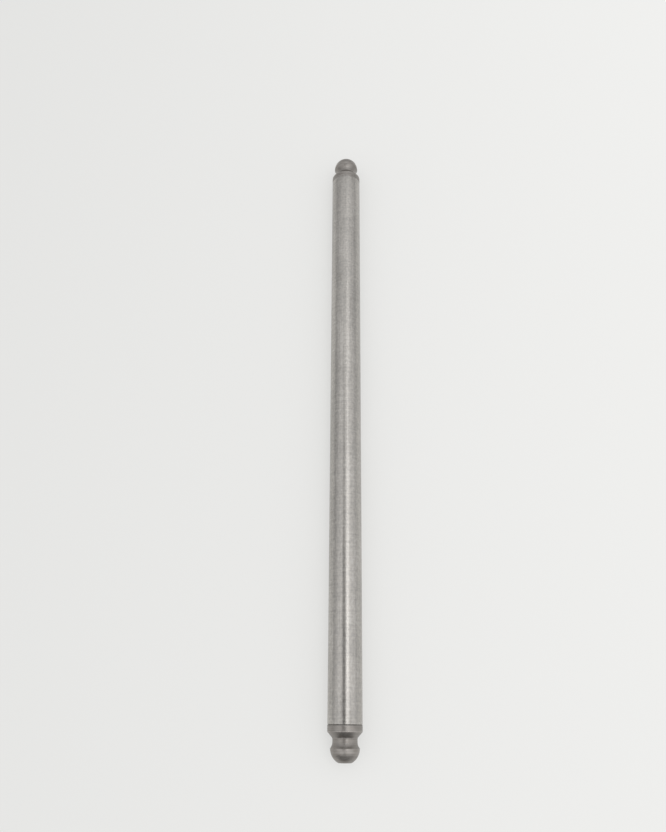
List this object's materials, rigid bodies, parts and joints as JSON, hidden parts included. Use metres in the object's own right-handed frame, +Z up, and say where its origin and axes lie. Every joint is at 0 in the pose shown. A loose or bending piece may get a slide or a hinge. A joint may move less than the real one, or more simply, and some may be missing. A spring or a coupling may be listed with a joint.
{
  "type": "engine pushrod",
  "caption": "Straight tubular engine pushrod with a turned ball tip pressed into either end and an oil passage running through, for pushing a rocker arm from a valve lifter.",
  "frame": {"origin": "middle of the rod's length, on its axis", "axes": "+Y along the rod, from the lower ball towards the upper ball; +Z up as it lies"},
  "size_m": [0.0096, 0.1968, 0.0096],
  "materials": {
    "tube_steel": "ground, satin, lightly oiled",
    "tip_steel": "turned and hardened, satin"
  },
  "bodies": {
    "root": {"tube": "tube_steel", "lower_tip": "tip_steel", "upper_tip": "tip_steel"}
  },
  "joints": []
}
